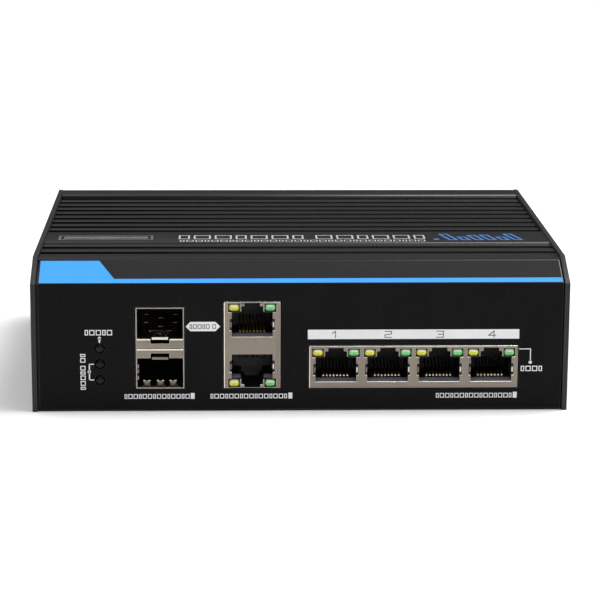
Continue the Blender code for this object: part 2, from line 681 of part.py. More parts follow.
def make_power_plug():
    inner_half = HEADER_WIDTH / 2 - HEADER_WALL - GAP
    middle = (SEAT + POWER_TOP) / 2
    nose = (SEAT + HEADER_WALL + GAP, POWER_TOP - HEADER_WALL - GAP)
    width = (POWER_X - inner_half, POWER_X + inner_half)
    plug = box("power_plug", width, (HEADER_FRONT + 2.0 + GAP, HOUSING_BACK + 2.5), nose)
    join(plug, box("body", width, (HOUSING_BACK + 0.5, PLUG_END), (PLUG_BOTTOM, PLUG_TOP)))
    for index in range(POWER_WAYS):
        x = power_way_x(index)
        socket = (middle - 0.9, middle + 0.9)
        cut(plug, box("cut", (x - 0.9, x + 0.9), (HEADER_FRONT, HEADER_FACE - 2.0), socket))
        cut(plug, box("cut", (x - 1.6, x + 1.6), (PLUG_SCREW_Y - 0.4, PLUG_END + 1.0), WIRE_ENTRY))
        cut(plug, rod("cut", (x, PLUG_SCREW_Y, PLUG_SCREW_SEAT), (0, 0, 1), 2.1, 8.0, 16))
        seat = PLUG_SCREW_SEAT + GAP
        profile = ((1.2, seat), (1.2, seat + 1.9), (1.8, seat + 1.9), (1.8, seat + 4.3))
        screw = turned("plug_screw_%d" % (index + 1), profile, (x, PLUG_SCREW_Y, 0.0), (0, 0, 1), 16)
        slot = (PLUG_SCREW_Y - 0.3, PLUG_SCREW_Y + 0.3)
        cut(screw, box("cut", (x - 2.2, x + 2.2), slot, (seat + 3.5, seat + 5.0)))
        set_origin(screw, (x, PLUG_SCREW_Y, seat + 1.7))
        finish(screw, material("zinc", (0.6, 0.6, 0.58), 0.35, 1.0))
    set_origin(plug, (POWER_X, HOUSING_BACK, middle))
    finish(plug, material("terminal_green", (0.02, 0.28, 0.09), 0.45))


def make_ground_screw():
    x, z = GROUND_POINT
    zinc = material("zinc", (0.6, 0.6, 0.58), 0.35, 1.0)
    washer = rod("ground_washer", (x, HOUSING_BACK + GAP, z), (0, 1, 0), 4.2, 0.8, 24)
    cut(washer, rod("cut", (x, HOUSING_BACK - 1.0, z), (0, 1, 0), 2.0, 4.0, 16))
    finish(washer, zinc)
    profile = ((1.2, -6.0), (1.6, -5.6), (1.6, 1.4), (3.6, 1.4), (3.6, 3.0), (2.6, 3.9))
    screw = turned("ground_screw", profile, (x, HOUSING_BACK, z), (0, 1, 0), 20)
    finish(screw, zinc)


def main():
    clear_scene()
    make_housing()
    make_overlay()
    make_end_plates()
    make_end_plate_screws()
    make_pan()
    make_board()
    make_chips()
    make_lamps()
    make_lan_sockets()
    make_combo_sockets()
    make_sfp_cage()
    make_sfp_latch("sfp_latch_upper", SFP_UPPER[0], 1)
    make_sfp_latch("sfp_latch_lower", SFP_LOWER[1], -1)
    make_sfp_connector()
    make_power_header()
    make_power_plug()
    make_ground_screw()


main()
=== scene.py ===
"""Looks of a compact industrial network switch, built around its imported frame.

Lengths are millimetres until they reach a mesh, and the studio's lights are in metres.
+Z is up and the front faces -Y.
"""

import math

import bmesh
import bpy
from mathutils import Matrix, Vector


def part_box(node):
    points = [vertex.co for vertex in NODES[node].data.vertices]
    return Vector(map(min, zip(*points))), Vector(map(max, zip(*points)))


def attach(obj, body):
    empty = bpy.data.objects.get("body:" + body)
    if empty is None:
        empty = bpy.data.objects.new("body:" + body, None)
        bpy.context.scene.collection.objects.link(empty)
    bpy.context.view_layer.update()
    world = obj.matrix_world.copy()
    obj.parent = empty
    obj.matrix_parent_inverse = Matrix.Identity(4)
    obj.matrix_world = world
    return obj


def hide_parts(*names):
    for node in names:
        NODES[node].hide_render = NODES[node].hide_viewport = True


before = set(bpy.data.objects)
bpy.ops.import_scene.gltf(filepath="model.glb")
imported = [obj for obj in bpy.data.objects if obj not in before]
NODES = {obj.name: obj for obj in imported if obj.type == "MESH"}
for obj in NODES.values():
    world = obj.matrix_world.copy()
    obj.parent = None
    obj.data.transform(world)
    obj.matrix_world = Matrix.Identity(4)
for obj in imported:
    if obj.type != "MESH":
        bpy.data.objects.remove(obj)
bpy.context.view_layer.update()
MM = 0.001
SAME_POINT = 0.002 * MM             # points closer than this are one
FLAT_ANGLE = math.radians(1.0)      # facets flatter than this are one face

# Camera: place in millimetres, turns in degrees, lens in millimetres
CAMERA_PLACE = (-22.6, -709.1, 181.0)
CAMERA_YAW = 1.97
CAMERA_DOWN = 12.83
CAMERA_ROLL = 0.3
CAMERA_LENS = 136.8


# ---- places read from the frame

def span(node):
    """Low and high corners of a CAD node, in millimetres."""
    low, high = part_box(node)
    return low / MM, high / MM


def middle(node):
    """Middle of a CAD node's box: x, y and z in millimetres."""
    return [(low + high) / 2 for low, high in zip(*span(node))]


def around(centre, half):
    """Low and high ends of a length that lies evenly about its centre."""
    return centre - half, centre + half


CASE_FRONT = span("left_end_plate")[0].y
TOP = span("heatsink_housing")[1].z
RIB_TOP = TOP - 1.0                 # top of the ribs behind the band
BAND_TOP = TOP - 0.2                # flat band that carries the marks
FILM_LOW, FILM_HIGH = span("front_overlay")
FILM_FACE = FILM_LOW.y
CHAMFER_RUN = 12.3
CHAMFER_RISE = 5.9
CHAMFER_LENGTH = math.hypot(CHAMFER_RUN, CHAMFER_RISE)

# Sockets: each port is the middle of its mouth, its floor and the way from the floor to the ceiling
SHEET = 0.45
PLUG_HALF = 5.95                    # half the width of a mouth
PLUG_HEIGHT = 7.05
CONTACT_PITCH = 1.016
TERMINAL_PITCH = 5.08
LAN_LOW, LAN_HIGH = span("lan_shield")
COMBO_LOW, COMBO_HIGH = span("combo_shield")
SHIELD_FACE = LAN_LOW.y
CONTACT_FRONT = span("lan_contacts_1")[0].y
LAN_PORTS = [(middle("lan_contacts_%d" % number)[0], LAN_LOW.z + 2.0, 1) for number in (1, 2, 3, 4)]
COMBO_X = middle("combo_contacts_upper")[0]
COMBO_PORTS = [(COMBO_X, COMBO_HIGH.z - 10.4, 1), (COMBO_X, COMBO_LOW.z + 10.25, -1)]

# Optical cage
CAGE_LOW, CAGE_HIGH = span("sfp_cage")
CAGE_X = middle("sfp_cage")[0]
CAGE_SHEET = 0.4
TONGUE_RISE = 0.35                  # from a tongue's box to the face of the sheet it is cut from
CAGE_SLOTS = ((-4.8, 31.6), (4.1, 31.5), (-0.2, 26.6), (-4.6, 20.9), (4.2, 20.8), (-0.2, 15.7),
              (-2.8, 9.9), (2.5, 9.8))


# ---- solids: (points, faces)

def prism(outline, axis, low, high):
    """A closed outline extruded along an axis; the outline holds the other two axes in X, Y, Z order."""
    def place(pair, depth):
        values = list(pair)
        values.insert("XYZ".index(axis), depth)
        return Vector(values)

    count = len(outline)
    points = [place(pair, low) for pair in outline] + [place(pair, high) for pair in outline]
    faces = [list(range(count)), list(range(2 * count - 1, count - 1, -1))]
    for index in range(count):
        following = (index + 1) % count
        faces.append([index, following, following + count, index + count])
    return points, faces


def block(x, y, z):
    """A box from the low and high ends of its three sides."""
    corners = [(y[0], z[0]), (y[1], z[0]), (y[1], z[1]), (y[0], z[1])]
    return prism(corners, "X", x[0], x[1])


def loft(rings):
    """Skin a row of rings that hold the same number of points, with flat ends."""
    count = len(rings[0])
    points = [Vector(point) for ring in rings for point in ring]
    faces = [list(range(count)), list(range(len(points) - count, len(points)))]
    for row in range(len(rings) - 1):
        for index in range(count):
            following = (index + 1) % count
            low = row * count
            high = low + count
            faces.append([low + index, low + following, high + following, high + index])
    return points, faces


def turned(profile, centre, direction, sides=32):
    """Turn (radius, height) points about an axis through centre that points in direction."""
    turn = Vector(direction).to_track_quat("Z", "Y").to_matrix()
    rings = []
    for radius, height in profile:
        ring = []
        for side in range(sides):
            angle = math.tau * side / sides
            local = Vector((radius * math.cos(angle), radius * math.sin(angle), height))
            ring.append(turn @ local + Vector(centre))
        rings.append(ring)
    return loft(rings)


def wire(path, width, thickness, across=(1, 0, 0), sides=8):
    """A flattened wire along a path that lies in a plane square to across."""
    across = Vector(across)
    rings = []
    for index, point in enumerate(path):
        before = Vector(path[max(index - 1, 0)])
        after = Vector(path[min(index + 1, len(path) - 1)])
        along = (after - before).normalized()
        normal = along.cross(across).normalized()
        ring = []
        for side in range(sides):
            angle = math.tau * (side + 0.5) / sides
            ring.append(Vector(point) + across * (math.cos(angle) * width / 2)
                        + normal * (math.sin(angle) * thickness / 2))
        rings.append(ring)
    return loft(rings)


def ribbon(path, axis, low, high, thickness):
    """Thin bent sheet: a 2-D path given thickness, then extruded along an axis."""
    left = []
    right = []
    for index, point in enumerate(path):
        before = Vector(path[max(index - 1, 0)])
        after = Vector(path[min(index + 1, len(path) - 1)])
        along = (after - before).normalized()
        side = Vector((-along.y, along.x)) * thickness / 2
        left.append(Vector(point) + side)
        right.append(Vector(point) - side)
    return prism([tuple(p) for p in left + right[::-1]], axis, low, high)


def arc(centre, radius, start, end, steps):
    """Points along a circle from one angle to another, in degrees, both ends among them."""
    points = []
    for step in range(steps + 1):
        angle = math.radians(start + (end - start) * step / steps)
        points.append((centre[0] + radius * math.cos(angle), centre[1] + radius * math.sin(angle)))
    return points


def rounded(x, z, radius, steps=4):
    """Outline of a rectangle with round corners."""
    outline = arc((x[1] - radius, z[0] + radius), radius, -90, 0, steps)
    outline += arc((x[1] - radius, z[1] - radius), radius, 0, 90, steps)
    outline += arc((x[0] + radius, z[1] - radius), radius, 90, 180, steps)
    outline += arc((x[0] + radius, z[0] + radius), radius, 180, 270, steps)
    return outline


# ---- objects

def mesh_of(name, solids, slots=None):
    """One mesh from several solids; slots holds a material index for each."""
    points = []
    faces = []
    indices = []
    for number, (more_points, more_faces) in enumerate(solids):
        start = len(points)
        points += [point * MM for point in more_points]
        faces += [[start + index for index in face] for face in more_faces]
        indices += [slots[number] if slots else 0] * len(more_faces)
    mesh = bpy.data.meshes.new(name)
    mesh.from_pydata(points, [], faces)
    mesh.polygons.foreach_set("material_index", indices)
    shape = bmesh.new()
    shape.from_mesh(mesh)
    bmesh.ops.recalc_face_normals(shape, faces=shape.faces)
    shape.to_mesh(mesh)
    shape.free()
    return mesh


def add(name, mesh, *materials):
    """A new object in the scene."""
    obj = bpy.data.objects.new(name, mesh)
    bpy.context.scene.collection.objects.link(obj)
    for made in materials:
        obj.data.materials.append(made)
    return obj


def build(name, solids, *materials, slots=None):
    """An object from several solids; slots holds a material index for each."""
    return add(name, mesh_of(name, solids, slots), *materials)


def dress(obj, *materials):
    """Give an object these materials and no others."""
    obj.data.materials.clear()
    for made in materials:
        obj.data.materials.append(made)
    return obj


def bevel(obj, width, segments=2, angle=30, slot=-1):
    """Round an object's edges by a width in millimetres; slot is the material of the roundings."""
    for polygon in obj.data.polygons:
        polygon.use_smooth = True
    triangles = obj.modifiers.new("Triangles", "TRIANGULATE")
    triangles.min_vertices = 5
    edge = obj.modifiers.new("Edges", "BEVEL")
    edge.width = width * MM
    edge.segments = segments
    edge.limit_method = "ANGLE"
    edge.angle_limit = math.radians(angle)
    edge.use_clamp_overlap = False
    edge.harden_normals = True
    edge.material = slot
    return obj


def smooth(obj, degrees=35):
    """Shade an object smoothly, except across edges sharper than an angle."""
    obj.data.shade_smooth()
    obj.data.set_sharp_from_angle(angle=math.radians(degrees))
    return obj


def refine(node, made, width, segments=2, angle=30):
    """Keep a CAD node: merge its flat facets, round its edges and give it its material."""
    obj = dress(NODES[node], made)
    weld = obj.modifiers.new("Weld", "WELD")
    weld.merge_threshold = SAME_POINT
    flat = obj.modifiers.new("Flat", "DECIMATE")
    flat.decimate_type = "DISSOLVE"
    flat.angle_limit = FLAT_ANGLE
    return bevel(obj, width, segments, angle)


def copy_of(node, name):
    """A clean copy of a CAD node's mesh, for a piece that adds to its shape."""
    shape = bmesh.new()
    shape.from_mesh(NODES[node].data)
    bmesh.ops.remove_doubles(shape, verts=shape.verts, dist=SAME_POINT)
    bmesh.ops.dissolve_limit(shape, angle_limit=FLAT_ANGLE, verts=shape.verts, edges=shape.edges)
    mesh = bpy.data.meshes.new(name)
    shape.to_mesh(mesh)
    shape.free()
    return add(name, mesh)


def boolean(body, solid, operation="DIFFERENCE"):
    """Apply an exact Boolean of a solid to a piece."""
    tool = build("tool", [solid])
    modifier = body.modifiers.new("Cut", "BOOLEAN")
    modifier.object = tool
    modifier.operation = operation
    modifier.solver = "EXACT"
    graph = bpy.context.evaluated_depsgraph_get()
    result = bpy.data.meshes.new_from_object(body.evaluated_get(graph))
    body.modifiers.remove(modifier)
    body.data = result
    bpy.data.objects.remove(tool, do_unlink=True)


def belongs(obj, body, slot, *nodes):
    """Attach a piece to the empty of the body it rides on and hide the CAD nodes it stands for; slot is not
    used.
    """
    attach(obj, body)
    if nodes:
        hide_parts(*nodes)
    return obj


# ---- materials

class Paint:
    """A Principled material with helpers for its procedural detail."""

    def __init__(self, name, metallic=0.0, specular=0.5, coat=0.0):
        self.material = bpy.data.materials.new(name)
        self.material.use_nodes = True
        self.tree = self.material.node_tree
        self.shader = self.tree.nodes["Principled BSDF"]
        self.shader.inputs["Metallic"].default_value = metallic
        self.shader.inputs["Specular IOR Level"].default_value = specular
        self.shader.inputs["Coat Weight"].default_value = coat
        self.shader.inputs["Coat Roughness"].default_value = 0.15
        self.coords = self.add("ShaderNodeTexCoord").outputs["Object"]

    def add(self, kind, **settings):
        """A new shader node."""
        node = self.tree.nodes.new(kind)
        for key, value in settings.items():
            setattr(node, key, value)
        return node

    def feed(self, socket, value):
        """Link another socket to a socket, or set a constant on it."""
        if isinstance(value, bpy.types.NodeSocket):
            self.tree.links.new(value, socket)
        else:
            socket.default_value = value

    def noise(self, scale, detail, roughness, stretch=(1, 1, 1)):
        """Noise in the object's own space, with a scale per metre."""
        mapping = self.add("ShaderNodeMapping")
        mapping.inputs["Scale"].default_value = stretch
        self.feed(mapping.inputs["Vector"], self.coords)
        node = self.add("ShaderNodeTexNoise")
        self.feed(node.inputs["Vector"], mapping.outputs["Vector"])
        node.inputs["Scale"].default_value = scale
        node.inputs["Detail"].default_value = detail
        node.inputs["Roughness"].default_value = roughness
        return node.outputs["Fac"]

    def remap(self, value, low, high, to_low=0.0, to_high=1.0):
        """Map low..high to to_low..to_high, held at its ends."""
        node = self.add("ShaderNodeMapRange", clamp=True)
        for key, number in zip(("From Min", "From Max", "To Min", "To Max"), (low, high, to_low, to_high)):
            node.inputs[key].default_value = number
        self.feed(node.inputs["Value"], value)
        return node.outputs["Result"]

    def mix(self, factor, first, second):
        node = self.add("ShaderNodeMix", data_type="RGBA")
        self.feed(node.inputs["Factor"], factor)
        for socket, value in ((node.inputs["A"], first), (node.inputs["B"], second)):
            self.feed(socket, value)
        return node.outputs["Result"]

    def convex_edges(self, radius, low, high):
        """A mask that is 1 along sharp convex edges, from the way a rounded normal leaves the true one."""
        rounder = self.add("ShaderNodeBevel", samples=4)
        rounder.inputs["Radius"].default_value = radius * MM
        geometry = self.add("ShaderNodeNewGeometry")
        dot = self.add("ShaderNodeVectorMath", operation="DOT_PRODUCT")
        self.feed(dot.inputs[0], rounder.outputs["Normal"])
        self.feed(dot.inputs[1], geometry.outputs["Normal"])
        return self.remap(dot.outputs["Value"], high, low)

    def mask(self, limits):
        """A mask from limits (what, axis, low, high), each growing from 0 to 1 between low and high.

        What is place, in millimetres, or normal, the share of the face's direction along the axis.
        """
        made = None
        for what, axis, low, high in limits:
            split = self.add("ShaderNodeSeparateXYZ")
            if what == "place":
                self.feed(split.inputs["Vector"], self.coords)
                part = self.remap(split.outputs[axis], low * MM, high * MM)
            else:
                self.feed(split.inputs["Vector"], self.add("ShaderNodeNewGeometry").outputs["Normal"])
                part = self.remap(split.outputs[axis], low, high)
            if made is not None:
                both = self.add("ShaderNodeMath", operation="MULTIPLY")
                self.feed(both.inputs[0], made)
                self.feed(both.inputs[1], part)
                part = both.outputs["Value"]
            made = part
        return made

    def bump(self, height, strength, distance):
        node = self.add("ShaderNodeBump")
        node.inputs["Strength"].default_value = strength
        node.inputs["Distance"].default_value = distance * MM
        self.feed(node.inputs["Height"], height)
        self.feed(self.shader.inputs["Normal"], node.outputs["Normal"])

    def color(self, value):
        self.feed(self.shader.inputs["Base Color"], value)

    def roughness(self, value):
        self.feed(self.shader.inputs["Roughness"], value)


def rgb(red, green, blue):
    """Linear colour from 8-bit display values."""
    def linear(value):
        value = value / 255
        return value / 12.92 if value <= 0.04045 else ((value + 0.055) / 1.055) ** 2.4
    return (linear(red), linear(green), linear(blue), 1.0)


def shade(color, factor):
    """A colour made lighter or darker."""
    return tuple(channel * factor for channel in color[:3]) + (1.0,)


def surface(name, color, rough, spread, mottle, grain, depth, metallic=0.0, specular=0.5, coat=0.0,
            stretch=(1, 1, 1), dust=None, edge_wear_and_highlight=None, light_and_shade_tints=()):
    """A material with mottled colour, grain in roughness and bump, dust specks, lighter edges and tinted masks
    of painted light and shade.

    rough is the lowest and highest roughness, spread how far the mottling strays from the colour, mottle and
    grain are noise scales, depth is the height of the grain in millimetres, dust is (strength, colour), the
    edge entry is (edge radius in millimetres, colour) for worn edges, and on the black film a painted edge
    highlight, and a tint is (colour, limit, limit...) with the limits of Paint.mask, and each one given paints
    light and shade.
    """
    paint = Paint(name, metallic, specular, coat)
    patches = paint.remap(paint.noise(mottle, 5.0, 0.6, stretch), 0.3, 0.7)
    made = paint.mix(patches, shade(color, 1 - spread), shade(color, 1 + spread))
    if dust:
        strength, pale = dust
        made = paint.mix(paint.remap(paint.noise(1500.0, 2.0, 0.5), 0.66, 0.78, 0.0, strength), made, pale)
    # Lighter edges: worn edges, and on the black film a painted edge highlight
    if edge_wear_and_highlight:
        radius, bare = edge_wear_and_highlight
        made = paint.mix(paint.convex_edges(radius, 0.80, 0.97), made, bare)
    for tone, *limits in light_and_shade_tints:
        made = paint.mix(paint.mask(limits), made, tone)
    paint.color(made)
    fine = paint.noise(grain, 3.0, 0.6, stretch)
    paint.roughness(paint.remap(fine, 0.25, 0.75, *rough))
    paint.bump(fine, 0.5, depth)
    return paint.material


# Painted light and shade: painted shade on the groove walls, a painted sheen on the shoulders of the raised
# levels that grows to the right, and a painted glint along the film's edge
PAINTED_WALL_SHADE = (rgb(3, 3, 3), ("place", "Z", RIB_TOP - 2.5, RIB_TOP - 2.0),
         ("place", "Z", RIB_TOP + 0.4, RIB_TOP + 0.3), ("normal", "Z", 0.97, 0.75))
# Painted sheen: a lighter grey on the front of the shoulders of the band and the back land, growing towards the
# right end
PAINTED_SHOULDER_SHEEN = (rgb(92, 92, 89), ("place", "Z", RIB_TOP + 0.32, RIB_TOP + 0.42), ("normal", "Z", 0.98, 0.88),
             ("normal", "Y", -0.1, -0.3), ("place", "X", -30.0, 74.0))
# Painted glint along the film's edge, growing towards the right end
PAINTED_EDGE_GLINT = (rgb(136, 134, 128), ("place", "X", 0.0, 76.0))

# Housing, end plates and film
# The housing's colour carries the painted shade of the groove walls and the painted sheen of the shoulders
ANODISED = surface(
    "anodised_black_extrusion", rgb(38, 38, 38), rough=(0.27, 0.39), spread=0.08, mottle=34.0, grain=650.0,
    depth=0.02, specular=0.25, stretch=(0.12, 1, 1), dust=(0.3, rgb(90, 90, 90)),
    edge_wear_and_highlight=(0.12, rgb(50, 50, 49)), light_and_shade_tints=(PAINTED_WALL_SHADE, PAINTED_SHOULDER_SHEEN))
PLATE_PAINT = surface(
    "powder_coat_black", rgb(35, 35, 34), rough=(0.42, 0.58), spread=0.12, mottle=45.0, grain=1100.0,
    depth=0.03, specular=0.3, dust=(0.25, rgb(100, 100, 100)), edge_wear_and_highlight=(0.22, rgb(64, 63, 61)))
# Black film: its lighter edges are a painted edge highlight
FILM_BLACK = surface(
    "film_black", rgb(10, 10, 11), rough=(0.38, 0.5), spread=0.25, mottle=90.0, grain=1600.0,
    depth=0.006, specular=0.08, dust=(0.4, rgb(60, 60, 61)), edge_wear_and_highlight=(0.12, rgb(92, 92, 92)))
# The film's sloping part: a lighter grey than its black front
FILM_GREY = surface(
    "film_grey_slope", rgb(36, 36, 38), rough=(0.4, 0.5), spread=0.04, mottle=60.0, grain=1600.0,
    depth=0.004, specular=0.06, dust=(0.2, rgb(90, 90, 92)))
FILM_BLUE = surface(
    "film_blue_print", rgb(66, 150, 236), rough=(0.4, 0.5), spread=0.03, mottle=60.0, grain=1600.0,
    depth=0.004, specular=0.06)
# Painted highlight of the film's cut edge: a lighter grey with the painted glint
FILM_EDGE_HIGHLIGHT = surface(
    "film_edge_painted_highlight", rgb(66, 66, 66), rough=(0.3, 0.42), spread=0.2, mottle=260.0, grain=1600.0,
    depth=0.004, specular=0.4, light_and_shade_tints=(PAINTED_EDGE_GLINT,))


def ink(name, color, spread=0.06, mottle=120.0, rough=(0.5, 0.6)):
    """Matt screen-printing ink."""
    return surface(name, color, rough, spread, mottle, grain=1800.0, depth=0.004, specular=0.2)


INK_WHITE = ink("ink_white", rgb(232, 232, 233), spread=0.04, rough=(0.45, 0.6))
INK_DARK = ink("ink_dark", rgb(96, 98, 102))
INK_NUMERAL = ink("ink_numeral", rgb(104, 106, 108))
INK_GREY = ink("ink_grey", rgb(168, 168, 170), spread=0.12, mottle=300.0)
INK_DIM = ink("ink_dim", rgb(98, 96, 98), spread=0.25, mottle=300.0)
INK_BLUE = ink("ink_blue", rgb(68, 114, 174))


def plating(name, color, rough=(0.25, 0.38), mottle=140.0, light_and_shade_tints=()):
    """Bright sheet metal, plated or bare."""
    return surface(name, color, rough, 0.05, mottle, grain=900.0, depth=0.01, metallic=1.0, light_and_shade_tints=light_and_shade_tints)


def gilding(name, color, rough, spread, tint):
    """Gold plate with painted shade that darkens it into the socket."""
    return surface(name, color, rough, spread, 300.0, grain=1200.0, depth=0.005, metallic=1.0, light_and_shade_tints=(tint,))


# Painted light and shade: a painted highlight on the upper roundings of the nickel, and painted shade that
# darkens the wires the deeper they lie
PAINTED_TOP_HIGHLIGHT = (rgb(252, 247, 238), ("normal", "Z", 0.15, 0.45))
PAINTED_DEPTH_SHADE = (rgb(72, 56, 30), ("place", "Y", CONTACT_FRONT + 1.0, CONTACT_FRONT + 2.6))
PAINTED_FAR_SHADE = (rgb(60, 46, 26), ("place", "Y", CONTACT_FRONT + 3.0, CONTACT_FRONT + 7.5))

# Metal
NICKEL = surface(
    "nickel_plate", rgb(124, 116, 107), rough=(0.28, 0.42), spread=0.07, mottle=140.0, grain=900.0,
    depth=0.012, metallic=1.0, stretch=(1, 1, 0.35))
# Roundings of the shields: a lighter nickel than the faces, as a painted highlight
NICKEL_EDGE_HIGHLIGHT = plating("nickel_edge_painted_highlight", rgb(146, 137, 127), light_and_shade_tints=(PAINTED_TOP_HIGHLIGHT,))
# Folded and rolled edges: a near-white nickel as a painted highlight
METAL_LIP_HIGHLIGHT = plating("cage_lip_painted_highlight", rgb(232, 224, 208))
# Roundings of the cage: a lighter nickel than its faces, as a painted highlight
CAGE_EDGE_HIGHLIGHT = plating("cage_edge_painted_highlight", rgb(172, 165, 154))
STAINLESS = plating("stainless_spring", rgb(206, 200, 188), rough=(0.2, 0.34), mottle=180.0)
# Contact wires: painted shade darkens them the deeper they lie in the socket
GOLD = gilding("contact_gold", rgb(250, 238, 200), (0.2, 0.36), 0.08, PAINTED_DEPTH_SHADE)
GOLD_DULL = gilding("contact_gold_dull", rgb(214, 172, 96), (0.3, 0.46), 0.12, PAINTED_FAR_SHADE)
SCREW_BLACK = surface(
    "screw_black_oxide", rgb(46, 46, 46), rough=(0.32, 0.5), spread=0.15, mottle=400.0, grain=1600.0,
    depth=0.01, metallic=0.7, edge_wear_and_highlight=(0.12, rgb(120, 116, 110)))
ZINC = surface(
    "zinc_plate", rgb(190, 192, 190), rough=(0.25, 0.42), spread=0.10, mottle=300.0, grain=1300.0,
    depth=0.01, metallic=1.0)
SINK_BLACK = surface(
    "sink_anodised", rgb(52, 52, 54), rough=(0.35, 0.5), spread=0.12, mottle=80.0, grain=1000.0,
    depth=0.01, metallic=0.5, stretch=(1, 0.2, 1))

# Plastics, board and electronic parts
# Lips of the inserts: a grey plastic, made lighter still as a painted highlight against the shade inside the
# socket
SOCKET_LIP_LIGHTENED = surface(
    "socket_lip_grey_and_highlight", rgb(122, 122, 134), rough=(0.3, 0.45), spread=0.12, mottle=160.0, grain=1500.0, depth=0.012)
SOCKET_BLACK = surface(
    "socket_black", rgb(24, 24, 26), rough=(0.4, 0.6), spread=0.15, mottle=160.0, grain=1500.0,
    depth=0.012, specular=0.35)
TERMINAL_GREEN = surface(
    "terminal_green", rgb(28, 138, 84), rough=(0.36, 0.5), spread=0.08, mottle=90.0, grain=1500.0,
    depth=0.012, specular=0.4, edge_wear_and_highlight=(0.2, rgb(76, 176, 124)))
BOARD_GREEN = surface(
    "board_green", rgb(24, 92, 52), rough=(0.3, 0.45), spread=0.10, mottle=120.0, grain=900.0,
    depth=0.01, coat=0.2)
CHIP_EPOXY = surface(
    "chip_epoxy", rgb(38, 38, 40), rough=(0.5, 0.7), spread=0.10, mottle=300.0, grain=2000.0,
    depth=0.02, specular=0.4)
FERRITE = surface(
    "ferrite", rgb(62, 62, 64), rough=(0.7, 0.85), spread=0.12, mottle=400.0, grain=1800.0,
    depth=0.04, specular=0.3)
SLEEVE = surface(
    "capacitor_sleeve", rgb(34, 36, 66), rough=(0.2, 0.32), spread=0.08, mottle=90.0, grain=900.0,
    depth=0.01, coat=0.4)


def lamp_resin(name, color):
    """Tinted diffusing resin, with a painted highlight on its upper side and painted shade below and round its
    rim.
    """
    paint = Paint(name, coat=0.6)
    for socket, value in (("Subsurface Weight", 0.35), ("Subsurface Radius", (0.0012, 0.0012, 0.0006)),
                          ("Subsurface Scale", 1.0), ("Emission Strength", 0.03), ("Emission Color", color)):
        paint.shader.inputs[socket].default_value = value
    cloud = paint.remap(paint.noise(700.0, 3.0, 0.5), 0.3, 0.7)
    made = paint.mix(cloud, shade(color, 0.86), shade(color, 1.12))
    pale = tuple(0.45 * channel + 0.5 for channel in color[:3]) + (1.0,)
    # Painted highlight on upward faces; painted shade on downward faces and on the rim that faces away from the
    # front
    for tone, *limit in ((pale, "Z", 0.12, 0.42), (shade(color, 0.4), "Z", -0.1, -0.6),
                         (shade(color, 0.16), "Y", -0.88, -0.35)):
        made = paint.mix(paint.mask([("normal", *limit)]), made, tone)
    paint.color(made)
    fine = paint.noise(2400.0, 2.0, 0.5)
    paint.roughness(paint.remap(fine, 0.3, 0.7, 0.12, 0.26))
    paint.bump(fine, 0.3, 0.01)
    return paint.material


def dark_lamp(name, color):
    """Clear lamp resin over an unlit lamp."""
    return surface(name, color, rough=(0.14, 0.26), spread=0.2, mottle=300.0, grain=1500.0, depth=0.004,
                   specular=0.18)


LED_YELLOW = lamp_resin("led_yellow", rgb(212, 212, 30))
LED_GREEN = lamp_resin("led_green", rgb(110, 206, 116))
LED_SMOKE = dark_lamp("led_smoke", rgb(12, 11, 11))
LED_RED = dark_lamp("led_red", rgb(25, 13, 13))


# ---- case

def make_case():
    refine("heatsink_housing", ANODISED, 0.1, angle=25)
    dress(NODES["front_overlay"], FILM_BLACK)
    refine("left_end_plate", PLATE_PAINT, 0.12)
    refine("right_end_plate", PLATE_PAINT, 0.12)
    refine("base_pan", PLATE_PAINT, 0.2)
    for number in range(1, 9):
        make_case_screw(number)
    for number in range(1, 5):
        refine("board_screw_%d" % number, ZINC, 0.15)


def make_case_screw(number):
    """A countersunk screw of an end plate, with a cross recess in its head."""
    node = "end_plate_screw_%d" % number
    low, high = span(node)
    x, y, z = middle(node)
    side = 1 if x > 0 else -1
    head = high.x if side > 0 else low.x
    depth = sorted((head - side * 1.3, head + side * 1.0))
    screw = copy_of(node, "case_screw_%d" % number)
    for arm_y, arm_z in ((1.55, 0.36), (0.36, 1.55)):
        boolean(screw, block(depth, around(y, arm_y), around(z, arm_z)))
    belongs(bevel(dress(screw, SCREW_BLACK), 0.07), "case", "black_screw", node)


def make_pressed_posts():
    """Hexagonal feet of the board's posts, pressed flush into the underside of the pan."""
    solids = []
    for number in range(1, 5):
        x, y, _ = middle("board_screw_%d" % number)
        centre = (x, y, 0.02)
        solids.append(turned(((2.9, 0.0), (3.1, 0.18), (3.1, 0.4)), centre, (0, 0, 1), 6))
        solids.append(turned(((1.3, -0.015), (1.35, 0.1)), centre, (0, 0, 1), 24))
    belongs(smooth(build("pressed_posts", solids, ZINC)), "case", "zinc_steel")


# ---- prints

def front_mark(outline):
    """White ink on the front: an outline in x and z."""
    return prism(outline, "Y", *around(FILM_FACE, 0.03))


def over_mark(lift):
    """A way to print over the white ink, proud of the film by a lift."""
    return lambda outline: prism(outline, "Y", FILM_FACE - lift, FILM_FACE)


def bar(x0, x1, z0, z1, radius=0.05):
    """A white bar with round corners."""
    return front_mark(rounded((x0, x1), (z0, z1), radius, 2))


def dot(x, z, radius=0.5):
    """A white dot."""
    return front_mark(arc((x, z), radius, 0, 337.5, 15))


def ring(x, z, stroke, plane):
    """Four strokes round a small rectangle: a blank placeholder mark."""
    strokes = [
        (x, (z[0], z[0] + stroke)), (x, (z[1] - stroke, z[1])),
        ((x[0], x[0] + stroke), (z[0] + stroke, z[1] - stroke)),
        ((x[1] - stroke, x[1]), (z[0] + stroke, z[1] - stroke)),
    ]
    return [plane([(across[0], up[0]), (across[1], up[0]), (across[1], up[1]), (across[0], up[1])])
            for across, up in strokes]


